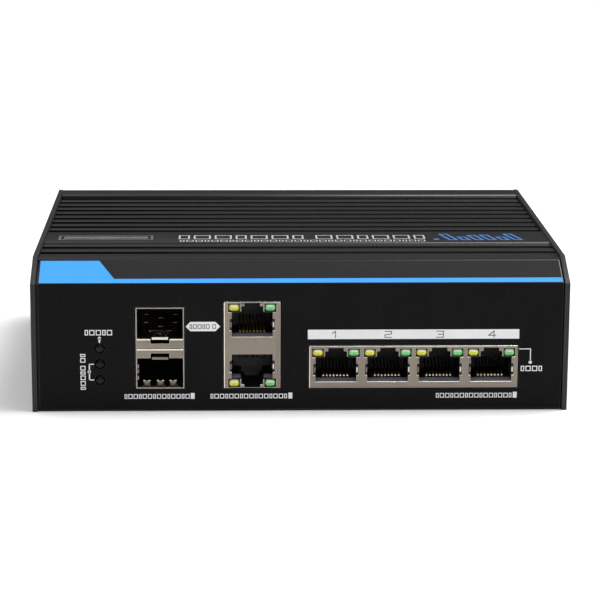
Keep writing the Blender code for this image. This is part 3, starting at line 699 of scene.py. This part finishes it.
def placeholder_row(ends, levels, stroke, plane, word=5):
    """Blank marks in place of lettering: open boxes of two widths, with a gap after each word."""
    start, end = ends
    height = levels[1] - levels[0]
    advances = []
    total = 0.0
    while total < (end - start) / height:
        width = 0.95 if len(advances) % 3 else 0.62
        space = 0.22 + (0.45 if (len(advances) + 1) % word == 0 else 0.0)
        advances.append((width, space))
        total += width + space
    scale = (end - start) / (total - advances[-1][1])
    solids = []
    place = start
    for width, space in advances:
        solids += ring((place, place + width * scale), levels, stroke, plane)
        place += (width + space) * scale
    return solids


def upright_mark(outline):
    """White ink for a row that reads upwards."""
    return front_mark([(z, x) for x, z in outline][::-1])


def make_front_prints():
    # Bar over the row of four sockets, and a row with a full block at its end under each group of ports
    white = [bar(2.04, 64.1, 21.65, 24.5, 0.1)]
    for ends in ((39.9, 62.3), (-26.5, -4.0), (-51.7, -32.6)):
        white += placeholder_row(ends, (3.8, 5.2), 0.24, front_mark, word=20)
    for x in (62.65, -3.6, -32.3):
        white.append(bar(x, x + 1.15, 3.7, 5.5))
    # Labels of the first lamp, of the last socket and, upright, of the two lower lamps
    white += placeholder_row((-63.1, -55.1), (23.0, 24.6), 0.26, front_mark)
    white += placeholder_row((64.8, 71.1), (11.8, 13.4), 0.26, front_mark)
    white += placeholder_row((6.6, 17.4), (-64.5, -63.0), 0.26, upright_mark)
    # Pointer to the first lamp
    lamp_x = middle("indicator_led_1")[0]
    white.append(dot(lamp_x, 22.15, 0.46))
    white.append(front_mark([(lamp_x - 0.14, 20.75), (lamp_x + 0.14, 20.75), (lamp_x + 0.4, 22.1),
                             (lamp_x - 0.4, 22.1)]))
    # Bracket round the two lower lamps
    white.append(bar(-62.05, -61.7, 9.4, 14.45, 0.02))
    for z in (9.4, 14.15):
        white.append(bar(-62.0, -60.5, z, z + 0.3, 0.02))
    white.append(dot(-61.9, 12.0))
    # Line from the last socket to its label
    white.append(bar(64.2, 67.7, 18.4, 18.65, 0.02))
    white.append(bar(67.45, 67.7, 14.7, 18.4, 0.02))
    white.append(dot(67.57, 14.5))
    # Arrow both ways between the cage and the pair of sockets
    white.append(front_mark([(-33.7, 25.55), (-32.3, 24.15), (-25.0, 24.15), (-23.6, 25.55), (-25.0, 26.95),
                             (-32.3, 26.95)]))
    belongs(build("front_print_white", white, INK_WHITE), "case", "overlay_film")
    dark = placeholder_row((-32.5, -24.8), (24.9, 26.2), 0.22, over_mark(0.05))
    belongs(build("front_print_dark", dark, INK_DARK), "case", "overlay_film")
    for number, port in enumerate(LAN_PORTS, 1):
        make_numeral(number, port[0] + 0.05)


NUMERALS = {
    1: [[(-1.2, 0.35), (-0.25, 0.95), (-0.25, -0.95)]],
    2: [[(-0.95, 0.9), (0.95, 0.9), (0.95, 0.1), (-0.95, -0.1), (-0.95, -0.9), (0.95, -0.9)]],
    3: [[(-0.95, 0.9), (0.95, 0.9), (0.95, -0.9), (-0.95, -0.9)], [(-0.6, 0.0), (0.95, 0.0)]],
    4: [[(0.6, -0.95), (0.6, 0.9), (-1.0, -0.35), (1.05, -0.35)]],
}


def stroke_path(path, width, plane):
    """Flat print strokes along a path of points, one four-sided mark for each stretch."""
    solids = []
    for start, end in zip(path, path[1:]):
        along = (Vector(end) - Vector(start)).normalized()
        side = Vector((-along.y, along.x)) * width / 2
        tip = along * width / 2
        corners = (Vector(start) - tip - side, Vector(end) + tip - side,
                   Vector(end) + tip + side, Vector(start) - tip + side)
        solids.append(plane([tuple(corner) for corner in corners]))
    return solids


def make_numeral(number, x):
    """A port number on the white bar."""
    solids = []
    for path in NUMERALS[number]:
        solids += stroke_path([(x + dx, 23.05 + dz) for dx, dz in path], 0.26, over_mark(0.045))
    belongs(build("port_numeral_%d" % number, solids, INK_NUMERAL), "case", "overlay_film")


def chamfer_frame():
    """Foot, directions along and out of, and length of the film's sloping part."""
    along = Vector((0, CHAMFER_RUN, CHAMFER_RISE)) / CHAMFER_LENGTH
    out = Vector((0, -CHAMFER_RISE, CHAMFER_RUN)) / CHAMFER_LENGTH
    top = Vector((0, FILM_HIGH.y, FILM_HIGH.z))
    length = (FILM_HIGH.y - FILM_FACE) / along.y
    return top - along * length, along, out, length


def chamfer_mark(outline, lift):
    """A thin print on the slope; the outline holds x and the distance up the slope."""
    origin, along, out, _ = chamfer_frame()
    points = []
    for height in (-0.05, lift):
        for x, rise in outline:
            points.append(origin + Vector((x, 0, 0)) + along * rise + out * height)
    return points, prism(outline, "X", 0.0, 1.0)[1]


def make_chamfer_prints():
    """Grey slope, blue field and line, and strips along the film's top and down both ends that carry a painted
    highlight of its cut edge, brighter to the right.
    """
    length = chamfer_frame()[3]
    left = FILM_LOW.x + 0.12
    right = FILM_HIGH.x - 0.12
    grey = [(left, 0.1), (right, 0.1), (right, length - 0.05), (left, length - 0.05)]
    belongs(build("chamfer_grey_layer", [chamfer_mark(grey, 0.02)], FILM_GREY), "case", "overlay_film")
    line_top = 2.35
    blue = [(left, 0.2), (right, 0.35), (right, line_top + 0.1), (-54.4, line_top - 0.2),
            (-59.1, length - 0.06), (left, length - 0.06)]
    belongs(build("chamfer_print_blue", [chamfer_mark(blue, 0.04)], FILM_BLUE), "case", "overlay_film")
    # Strips that carry the painted highlight of the film's edge
    strips = [[(left, length - 0.14), (right, length - 0.14), (right, length - 0.02), (left, length - 0.02)]]
    for x in (left, right - 0.16):
        strips.append([(x, 0.2), (x + 0.16, 0.2), (x + 0.16, length - 0.18), (x, length - 0.18)])
    edges = build("film_edge_highlight_strips", [chamfer_mark(strip, 0.06) for strip in strips], FILM_EDGE_HIGHLIGHT)
    belongs(edges, "case", "overlay_film")


def make_top_prints():
    """Plain marks on the flat band, where the real case has lettering; their y is behind the case front."""
    def band_mark(outline):
        return prism([(x, CASE_FRONT + y) for x, y in outline], "Z", *around(BAND_TOP, 0.02))

    def slanted_mark(outline):
        return band_mark([(x - 0.28 * (y - 37.0), y) for x, y in outline])

    grey = placeholder_row((-36.3, 39.5), (38.9, 44.6), 0.55, band_mark, word=7)
    grey += placeholder_row((-35.9, 39.2), (34.9, 37.3), 0.38, band_mark, word=30)
    belongs(build("top_print_grey", grey, INK_GREY), "case", "housing_aluminium")
    badge = ring((-73.0, -44.2), (38.0, 44.4), 0.6, band_mark)
    badge.append(band_mark(rounded((-71.4, -45.8), (39.6, 42.8), 0.4)))
    belongs(build("top_print_badge", badge, INK_DIM), "case", "housing_aluminium")
    blue = []
    for index, height in enumerate((9.5, 5.0, 7.5, 8.0, 5.0, 9.5)):
        start = 46.6 + index * 4.0
        blue += ring((start, start + 2.9), (36.9, 36.9 + height), 0.75, slanted_mark)
    blue.append(band_mark(arc((42.8, 38.2), 0.95, 0, 345, 23)))
    belongs(build("top_print_blue", blue, INK_BLUE), "case", "housing_aluminium")


# ---- modular sockets

def spring_path(x, side):
    """Path of a grounding spring: folded round the edge of a mouth, then bulging into the socket."""
    path = [(0.42, 0.16), (0.28, 0.12), (0.14, 0.2), (0.05, 0.45), (-0.02, 1.2), (-0.42, 3.0), (-0.45, 3.8),
            (-0.1, 5.2)]
    return [(x + side * (PLUG_HALF + out), SHIELD_FACE + depth) for out, depth in path]


def make_shield(node, ports):
    """Metal shield of a block of sockets, with a notch and a spring on both sides of each mouth."""
    name = node + "_formed"
    shield = copy_of(node, name)
    solids = []
    for x, floor, sign in ports:
        notch_z = sorted((floor + sign * 1.9, floor + sign * 5.3))
        spring_z = sorted((floor + sign * 2.85, floor + sign * 4.35))
        for side in (-1, 1):
            notch_x = sorted((x + side * (PLUG_HALF - 0.2), x + side * (PLUG_HALF + 0.62)))
            boolean(shield, block(notch_x, (SHIELD_FACE - 0.5, SHIELD_FACE + SHEET + 0.05), notch_z))
            solids.append(ribbon(spring_path(x, side), "Z", spring_z[0], spring_z[1], 0.16))
    # The shield's roundings take the lighter nickel with its painted highlight
    bevel(dress(shield, NICKEL, NICKEL_EDGE_HIGHLIGHT), 0.2, 3, slot=1)
    belongs(shield, "case", "nickel_sheet", node)
    slots = [1, 0] * len(ports)         # painted light and shade: the right spring of a mouth takes the lighter stainless, the left one the darker nickel
    springs = build(name + "_springs", solids, STAINLESS, NICKEL, slots=slots)
    belongs(smooth(springs, 50), "case", "nickel_sheet")


def make_insert(node, ports):
    """Black insert with a sloping lip under each contact set and guide ribs behind it."""
    refine(node, SOCKET_BLACK, 0.08, 1)
    front = span(node)[0].y
    wall = PLUG_HALF - 0.02
    ribs = []
    lips = []
    for x, floor, sign in ports:
        level = floor if sign > 0 else floor - PLUG_HEIGHT
        lip = [(front, level), (front + 1.7, level + 0.6), (front + 1.88, level + 0.6), (front + 1.88, level)]
        for low, high in [(-wall, wall)] if sign > 0 else [(-wall, -3.35), (3.35, wall)]:
            lips.append(prism(lip, "X", x + low, x + high))
        for index in range(9):
            across = around(x + (index - 4) * CONTACT_PITCH, 0.16)
            ribs.append(block(across, (front + 1.9, front + 13.9), sorted((floor, floor + sign * 0.75))))
    belongs(bevel(build(node + "_ribs", ribs, SOCKET_BLACK), 0.04, 1), "case", "socket_plastic")
    # The lips take the grey plastic that carries a painted highlight
    belongs(bevel(build(node + "_lips", lips, SOCKET_LIP_LIGHTENED), 0.06), "case", "socket_plastic")


def make_contact_set(node, body, x, floor, sign):
    """Eight gilded spring wires, each bent round a shared bar near the mouth."""
    low = span(node)[0]
    proud = node.startswith("lan")
    bend_y = low.y + (0.55 if proud else 1.2)
    bend_z = floor + sign * (1.0 if proud else 0.62)
    radius = 0.46 if proud else 0.3
    rise, run = 2.9, 8.0                # of the wires behind their bend
    path = arc((bend_y, 0.0), radius, 265, 90 + math.degrees(math.atan2(rise, run)), 12)
    tip_y = low.y + 8.55
    path += [(bend_y + 3.0, radius + 3.0 * rise / run), (tip_y, radius + rise), (tip_y + 1.5, radius + 2.65)]
    solids = []
    for index in range(8):
        wire_x = x + (index - 3.5) * CONTACT_PITCH
        solids.append(wire([(wire_x, y, bend_z + sign * z) for y, z in path], 0.5, 0.24))
    core = radius - 0.15
    profile = ((core - 0.06, 0.0), (core, 0.1), (core, 8.4), (core - 0.06, 8.5))
    solids.append(turned(profile, (x - 4.25, bend_y, bend_z), (1, 0, 0), 16))
    slots = [0] * 8 + [1]
    contacts = build(node + "_wires", solids, GOLD if proud else GOLD_DULL, SOCKET_BLACK, slots=slots)
    belongs(smooth(contacts, 60), body, "contact_gold", node)


def make_lens(socket, tint, made):
    """A lamp window: rounded bar with a domed face."""
    node = socket + "_led_" + tint
    low, high = span(node)
    face = CASE_FRONT + 0.08
    proud = 0.12                        # how far the dome's foot stands round the bar
    profile = [(high.y, 0.0, 0.3), (face + 1.0, -proud, 0.95)]
    for step in range(1, 11):
        angle = math.pi / 2 * step / 10
        inset = -proud + 1.1 * (1 - math.cos(angle))
        profile.append((face + 1.0 * (1 - math.sin(angle)), inset, max(0.95 - 0.8 * (inset + proud), 0.05)))
    rings = []
    for y, inset, radius in profile:
        outline = rounded((low.x + inset, high.x - inset), (low.z + inset, high.z - inset), radius, 5)
        rings.append([(x, y, z) for x, z in outline])
    lens = build(socket + "_lens_" + tint, [loft(rings)], made)
    belongs(smooth(lens, 70), "case", "lamp_" + tint, node)


def make_shield_rims():
    """Folded edges up the left side of both shields, in a near-white nickel as a painted highlight."""
    solids = []
    for low, high in ((LAN_LOW, LAN_HIGH), (COMBO_LOW, COMBO_HIGH)):
        outline = [(low.x + 0.02, low.y + 0.4), (low.x + 0.05, low.y + 0.02), (low.x + 0.16, low.y - 0.06),
                   (low.x + 0.3, low.y - 0.03), (low.x + 0.34, low.y + 0.1)]
        solids.append(prism(outline, "Z", low.z + 0.25, high.z - 0.25))
    belongs(smooth(build("shield_rims", solids, METAL_LIP_HIGHLIGHT), 60), "case", "nickel_sheet")


def make_sockets():
    make_shield("lan_shield", LAN_PORTS)
    make_shield("combo_shield", COMBO_PORTS)
    make_shield_rims()
    make_insert("lan_insert", LAN_PORTS)
    make_insert("combo_insert", COMBO_PORTS)
    for number, port in enumerate(LAN_PORTS, 1):
        make_contact_set("lan_contacts_%d" % number, "contacts_%d" % number, *port)
    for level, port in zip(("upper", "lower"), COMBO_PORTS):
        make_contact_set("combo_contacts_" + level, "contacts_" + level, *port)
    for socket in ("lan_1", "lan_2", "lan_3", "lan_4", "combo_upper", "combo_lower"):
        make_lens(socket, "yellow", LED_YELLOW)
        make_lens(socket, "green", LED_GREEN)


# ---- optical cage

def make_cage():
    """Stacked cage with slots in its middle floor, and the springs and tabs inside its lower bay."""
    cage = copy_of("sfp_cage", "sfp_cage_formed")
    upper_floor = span("sfp_latch_upper")[0].z + TONGUE_RISE
    floor = CAGE_LOW.z + CAGE_SHEET
    for x, depth in CAGE_SLOTS:
        hole = (around(CAGE_X + x, 0.75), around(CASE_FRONT + depth, 0.8))
        boolean(cage, block(*hole, (upper_floor - 0.6, upper_floor + 0.3)))
    # The cage's roundings take the lighter nickel of the painted highlight
    bevel(dress(cage, NICKEL, CAGE_EDGE_HIGHLIGHT), 0.16, slot=1)
    belongs(cage, "case", "nickel_sheet", "sfp_cage")
    springs = []
    tabs = []
    for x in (-4.0, 0.0, 3.7):
        for lean in (-1, 1):
            start = Vector((CAGE_X + x - lean * 1.15, CASE_FRONT + 1.6, floor))
            end = Vector((CAGE_X + x + lean * 1.15, CASE_FRONT + 6.4, floor))
            springs.append(leaf_spring(start, end, 0.6, 0.85))
            tip = around(CAGE_X + x + lean * 0.72, 0.3)
            springs.append(block(tip, (CASE_FRONT + 2.6, CASE_FRONT + 3.0), (floor + 1.35, floor + 1.62)))
        across = around(CAGE_X + x, 0.85)
        tabs.append(block(across, (CASE_FRONT + 2.6, CASE_FRONT + 2.9), (floor, floor + 1.45)))
    wall = CAGE_LOW.x + CAGE_SHEET
    for depth, height in ((1.1, 2.2), (1.6, 4.0), (1.3, 5.6)):
        y = CASE_FRONT + depth
        z = floor + height
        tabs.append(block((wall, wall + 0.45), (y, y + 0.9), (z, z + 1.1)))
    make_flange_lips(upper_floor)
    slots = [0] * len(springs) + [1] * len(tabs)
    detail = build("sfp_cage_springs", springs + tabs, STAINLESS, NICKEL, slots=slots)
    belongs(smooth(detail, 50), "case", "nickel_sheet")


def make_flange_lips(upper_floor):
    """Rolled edges along the tops of the two flanges between the openings, in a near-white nickel as a painted
    highlight.
    """
    notch_low, notch_high = span("sfp_latch_upper")
    left = CAGE_LOW.x + 0.3
    right = CAGE_HIGH.x - 0.3
    upper = upper_floor - 0.28
    lower = (upper_floor + span("sfp_latch_lower")[1].z - TONGUE_RISE) / 2 - 0.36
    section = [(-0.05, -0.2), (-0.12, -0.05), (-0.08, 0.14), (0.05, 0.22), (0.3, 0.22), (0.3, -0.2)]
    solids = []
    for x0, x1, z in ((left, notch_low.x - 0.45, upper), (notch_high.x + 0.45, right, upper),
                      (left, right, lower)):
        outline = [(SHIELD_FACE + depth, z + height) for depth, height in section]
        solids.append(prism(outline, "X", x0, x1))
    belongs(bevel(build("sfp_flange_lips", solids, METAL_LIP_HIGHLIGHT), 0.05), "case", "nickel_sheet")


def leaf_spring(start, end, width, rise):
    """A narrow sheet arched between two points on a floor."""
    along = (end - start).normalized()
    across = Vector((-along.y, along.x, 0)) * width / 2
    lift = Vector((0, 0, 0.08))
    rings = []
    for step in range(9):
        part = step / 8
        centre = start.lerp(end, part) + Vector((0, 0, 0.12 + rise * math.sin(math.pi * part)))
        rings.append([centre - across - lift, centre + across - lift,
                      centre + across + lift, centre - across + lift])
    return loft(rings)


def make_tongue(level, made):
    """A release tongue with rounded edges."""
    node = "sfp_latch_" + level
    tongue = dress(copy_of(node, "sfp_tongue_" + level), made)
    belongs(bevel(tongue, 0.08), "latch_" + level, "nickel_sheet", node)


def make_chevron():
    """Two raised strokes that meet in a point on the upper tongue."""
    low, high = span("sfp_latch_upper")
    x = middle("sfp_latch_upper")[0]
    foot = high.z - 0.53
    solids = []
    for side in (-1, 1):
        start = Vector((x + side * 1.7, low.y + 3.4, foot))
        end = Vector((x, low.y + 6.6, foot))
        solids.append(leaf_spring(start, end, 0.4, 0.22))
    belongs(smooth(build("sfp_tongue_chevron", solids, STAINLESS), 50), "latch_upper", "nickel_sheet")


# ---- rear

def make_rear():
    refine("power_header", TERMINAL_GREEN, 0.18)
    low, high = span("power_header")
    pin_z = middle("power_header")[2]
    back, top = span("power_plug")[1].yz
    ways = [middle("plug_screw_%d" % number)[0] for number in (1, 2, 3, 4)]
    plug = copy_of("power_plug", "power_plug_moulding")
    for x in ways:                      # openings over the wire mouths, then grooves between the ways
        boolean(plug, block(around(x, 1.3), (back - 0.5, back + 1.0), (top - 3.4, top - 1.2)))
    for x in ways[1:]:
        groove = around(x - TERMINAL_PITCH / 2, 0.25)
        boolean(plug, block(groove, (back - 0.45, back + 1.0), (0.0, top + 1.0)))
    belongs(bevel(dress(plug, TERMINAL_GREEN), 0.16), "plug", "terminal_green", "power_plug")
    clamps = []
    for x in ways:
        for z in ((7.1, 7.6), (9.6, 10.1)):
            clamps.append(block(around(x, 1.45), (back - 3.2, back - 1.2), z))
    belongs(bevel(build("power_plug_clamps", clamps, ZINC), 0.1), "plug", "zinc_steel")
    pins = [block(around(x, 0.53), (low.y + 2.0, high.y - 2.95), around(pin_z, 0.53)) for x in ways]
    belongs(bevel(build("power_header_pins", pins, ZINC), 0.12), "case", "zinc_steel")
    for number in (1, 2, 3, 4):
        refine("plug_screw_%d" % number, ZINC, 0.12)


def make_ground():
    """Ground screw with a cross recess, and its toothed washer."""
    x, _, z = middle("ground_screw")
    head = span("ground_screw")[1].y
    screw = copy_of("ground_screw", "ground_screw_cross")
    for arm_x, arm_z in ((1.9, 0.4), (0.4, 1.9)):
        boolean(screw, block(around(x, arm_x), (head - 1.4, head + 1.0), around(z, arm_z)))
    belongs(bevel(dress(screw, ZINC), 0.12), "case", "zinc_steel", "ground_screw")
    low, high = span("ground_washer")
    outline = []
    for corner in range(48):
        angle = math.tau * corner / 48
        radius = 4.15 if corner % 4 in (0, 1) else 3.55
        outline.append((x + radius * math.cos(angle), z + radius * math.sin(angle)))
    washer = build("ground_washer_toothed", [prism(outline, "Y", low.y, high.y)], ZINC)
    belongs(bevel(washer, 0.08), "case", "zinc_steel", "ground_washer")


# ---- inside

def make_inside():
    refine("main_board", BOARD_GREEN, 0.1, 1)
    refine("switch_chip", CHIP_EPOXY, 0.15, 1)
    refine("chip_heatsink", SINK_BLACK, 0.15)
    refine("power_inductor", FERRITE, 0.3)
    refine("bulk_capacitor", SLEEVE, 0.15, angle=40)
    refine("sfp_connector", SOCKET_BLACK, 0.15, 1)
    refine("indicator_holder", SOCKET_BLACK, 0.12)
    for number, made in ((1, LED_RED), (2, LED_SMOKE), (3, LED_SMOKE)):
        make_indicator(number, made)


def make_indicator(number, made):
    """A round lamp: straight body with a collar and a domed lens that fills its hole."""
    node = "indicator_led_%d" % number
    low, high = span(node)
    x, _, z = middle(node)
    lens_radius = 1.6
    length = high.y - CASE_FRONT - 0.2
    radius = (high.x - low.x) / 2
    profile = [(radius - 0.1, 0.0), (radius, 0.1), (radius, length - 2.2), (lens_radius, length - 1.9)]
    for step in range(1, 9):
        angle = math.pi / 2 * step / 9
        profile.append((lens_radius * math.cos(angle), length - 1.3 + 1.3 * math.sin(angle)))
    lamp = build("indicator_lens_%d" % number, [turned(profile, (x, high.y, z), (0, -1, 0), 40)], made)
    belongs(smooth(lamp, 60), "case", "lamp_smoke", node)


# ---- studio

def area_light(name, place, target, size, energy):
    """A soft rectangular light that faces its target."""
    light = bpy.data.lights.new(name, "AREA")
    light.shape = "RECTANGLE"
    light.size, light.size_y = size
    light.energy = energy
    obj = bpy.data.objects.new(name, light)
    bpy.context.scene.collection.objects.link(obj)
    obj.location = place
    direction = Vector(target) - Vector(place)
    obj.rotation_euler = direction.to_track_quat("-Z", "Y").to_euler()


def broad_light(name, energy, lean):
    """A soft sun that leans sideways and a little towards the front, in degrees from straight above."""
    sun = bpy.data.lights.new(name, "SUN")
    sun.energy = energy
    sun.angle = math.radians(50)
    obj = bpy.data.objects.new(name, sun)
    bpy.context.scene.collection.objects.link(obj)
    obj.rotation_euler = (math.radians(-14), math.radians(lean), 0)


def make_floor():
    paint = Paint("studio_floor", specular=0.2)
    cloud = paint.remap(paint.noise(1.5, 3.0, 0.5), 0.3, 0.7)
    paint.color(paint.mix(cloud, (0.86, 0.86, 0.86, 1.0), (0.9, 0.9, 0.9, 1.0)))
    paint.roughness(0.8)
    sides = around(0.0, 6000.0)
    build("studio_floor", [block(sides, sides, (-10.0, 0.0))], paint.material)


def make_world():
    """Light that grows from the horizon to straight above, and a white backdrop where the floor ends."""
    world = bpy.data.worlds.new("studio")
    world.use_nodes = True
    tree = world.node_tree
    sky = tree.nodes["Background"]
    sky.inputs["Color"].default_value = (1.0, 1.0, 1.0, 1.0)
    place = tree.nodes.new("ShaderNodeTexCoord")
    split = tree.nodes.new("ShaderNodeSeparateXYZ")
    height = tree.nodes.new("ShaderNodeMapRange")
    for key, value in (("From Min", 0.3), ("From Max", 0.95), ("To Min", 0.03), ("To Max", 0.75)):
        height.inputs[key].default_value = value
    tree.links.new(place.outputs["Generated"], split.inputs["Vector"])
    tree.links.new(split.outputs["Z"], height.inputs["Value"])
    path = tree.nodes.new("ShaderNodeLightPath")
    backdrop = tree.nodes.new("ShaderNodeMath")
    backdrop.operation = "MAXIMUM"
    tree.links.new(height.outputs["Result"], backdrop.inputs[0])
    tree.links.new(path.outputs["Is Camera Ray"], backdrop.inputs[1])
    tree.links.new(backdrop.outputs["Value"], sky.inputs["Strength"])
    bpy.context.scene.world = world


def make_lights():
    broad_light("right_overhead", 1.6, 42)
    broad_light("left_overhead", 1.05, -42)
    area_light("right_sheen", (0.4, -0.06, 1.2), (0.3, 0.0, 0.0), (0.55, 0.45), 9.5)
    area_light("front_fill", (0.15, -1.7, 0.38), (0.0, -0.06, 0.02), (1.0, 0.3), 3.7)


def make_camera():
    data = bpy.data.cameras.new("camera")
    data.lens = CAMERA_LENS
    data.sensor_width = 36.0
    data.clip_start = 0.01
    camera = bpy.data.objects.new("camera", data)
    bpy.context.scene.collection.objects.link(camera)
    turn = Matrix.Rotation(math.radians(-CAMERA_YAW), 4, "Z")
    turn = turn @ Matrix.Rotation(math.radians(90 - CAMERA_DOWN), 4, "X")
    turn = turn @ Matrix.Rotation(math.radians(CAMERA_ROLL), 4, "Z")
    camera.matrix_world = Matrix.Translation(Vector(CAMERA_PLACE) * MM) @ turn
    bpy.context.scene.camera = camera


make_case()
make_pressed_posts()
make_front_prints()
make_chamfer_prints()
make_top_prints()
make_sockets()
make_cage()
make_tongue("upper", STAINLESS)
make_tongue("lower", NICKEL)
make_chevron()
make_rear()
make_ground()
make_inside()
make_floor()
make_world()
make_lights()
make_camera()
bpy.context.scene.view_settings.view_transform = "Standard"
